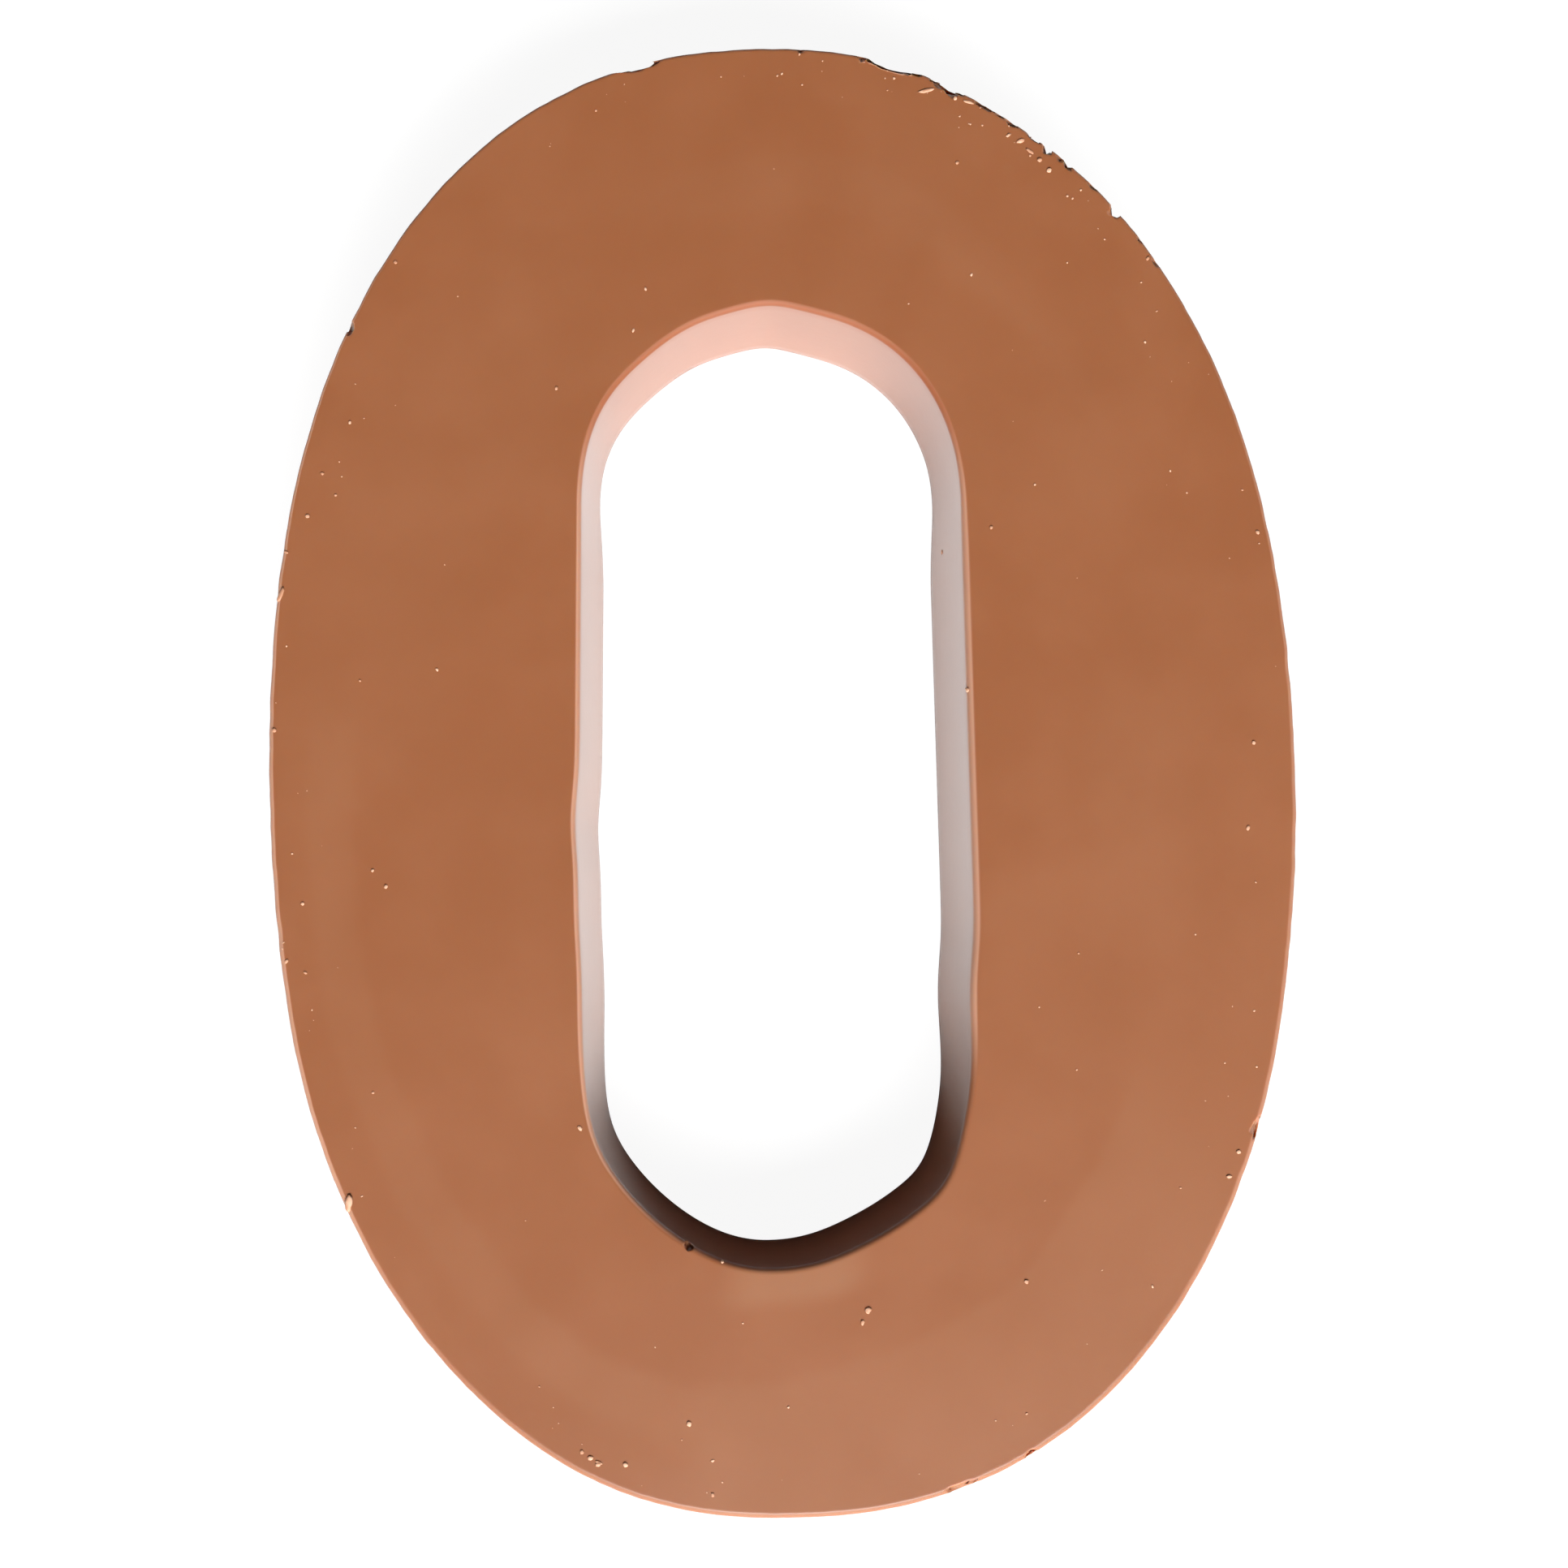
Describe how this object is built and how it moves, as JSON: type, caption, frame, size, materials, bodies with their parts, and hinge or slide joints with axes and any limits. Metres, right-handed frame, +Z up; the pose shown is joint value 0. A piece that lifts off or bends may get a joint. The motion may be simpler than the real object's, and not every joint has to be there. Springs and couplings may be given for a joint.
{
  "type": "chocolate number",
  "caption": "Solid milk chocolate digit nought: a thick flat oval ring with rounded rims, sloping walls and a long round-ended hole, lying on its flat poured back.",
  "frame": {"origin": "under the middle of the box, on the plane of the flat poured back that it rests on", "axes": "+Y towards the top of the digit, +X to its right as it is read, +Z up out of the moulded face"},
  "size_m": [0.1118, 0.1586, 0.015],
  "materials": {
    "milk_chocolate": "satin moulded milk chocolate"
  },
  "bodies": {
    "root": {"chocolate_nought": "milk_chocolate"}
  },
  "joints": []
}
